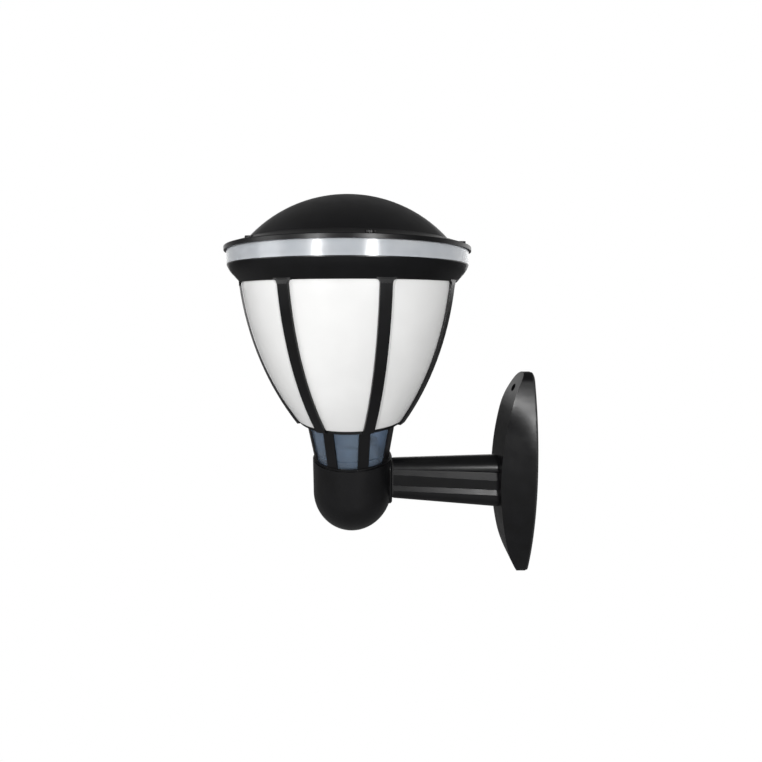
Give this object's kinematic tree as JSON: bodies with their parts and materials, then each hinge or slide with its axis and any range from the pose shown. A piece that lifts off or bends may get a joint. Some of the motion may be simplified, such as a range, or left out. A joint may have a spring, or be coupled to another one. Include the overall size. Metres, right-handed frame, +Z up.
{
  "type": "wall lantern",
  "caption": "Wall lantern with a domed cap over a clear band, an opal bell shade in a ribbed cage, a half-ball cup and a fluted arm on a long oval wall plate.",
  "frame": {"origin": "centre of the wall gasket's back face, midway between the two fixing holes", "axes": "+X into the wall, +Z up, the lantern stands out towards -X"},
  "size_m": [0.2241, 0.1742, 0.2888],
  "materials": {
    "black_coating": "satin black powder coating on cast aluminium",
    "opal_plastic": "opal white moulded plastic",
    "clear_plastic": "clear moulded plastic",
    "smoke_plastic": "smoke grey frosted plastic",
    "gasket_rubber": "black moulded rubber",
    "cream_plastic": "cream moulded plastic",
    "white_plastic": "white moulded plastic",
    "screw_steel": "zinc-plated steel",
    "bracket_steel": "pressed zinc-plated steel",
    "spun_aluminium": "spun aluminium",
    "contact_brass": "bare brass",
    "lamp_metal": "rolled aluminium",
    "lamp_opal": "frosted white plastic",
    "brown_sleeve": "brown sleeving",
    "blue_sleeve": "blue sleeving",
    "green_sleeve": "green sleeving"
  },
  "bodies": {
    "lantern": {"wall_gasket": "gasket_rubber", "arm_seal": "gasket_rubber", "wall_plate": "black_coating", "arm": "black_coating", "cup": "black_coating", "lower_cage": "black_coating", "upper_cage": "black_coating", "terminal_block": "cream_plastic", "cord_clamp": "cream_plastic", "holder_body": "white_plastic", "terminal_screws": "screw_steel", "block_screws": "screw_steel", "clamp_screws": "screw_steel", "earth_screw": "screw_steel", "plate_screws": "screw_steel", "arm_screws": "screw_steel", "cage_screws": "screw_steel", "bracket_screws": "screw_steel", "holder_screws": "screw_steel", "holder_bracket": "bracket_steel", "lower_lens": "smoke_plastic", "shade": "opal_plastic", "light_band": "clear_plastic", "holder_shell": "contact_brass", "holder_contact": "contact_brass", "earth_tag": "contact_brass", "live_lead": "brown_sleeve", "neutral_lead": "blue_sleeve", "earth_lead": "green_sleeve"},
    "cap": {"dome_cap": "black_coating", "cap_gasket": "gasket_rubber", "cap_screws": "screw_steel", "reflector": "spun_aluminium", "reflector_screw": "screw_steel"},
    "lamp_foot": {"lamp_tip": "contact_brass"},
    "lamp": {"lamp_cap": "lamp_metal", "lamp_neck": "white_plastic", "lamp_globe": "lamp_opal"}
  },
  "joints": [
    {"name": "cap_lift", "type": "slide", "parent": "lantern", "child": "cap", "axis": [0, 0, 1], "range_m": [0, 0.08]},
    {"name": "lamp_rise", "type": "slide", "parent": "lantern", "child": "lamp_foot", "axis": [0, 0, 1], "range_m": [0, 0.0109]},
    {"name": "lamp_turn", "type": "hinge", "parent": "lamp_foot", "child": "lamp", "pos_m": [-0.137, 0, 0], "axis": [0, 0, 1], "range_deg": [0, 1080]}
  ],
  "couplings": [
    {"joint": "lamp_rise", "follows": "lamp_turn", "m_per_rad": 0.0005775}
  ]
}
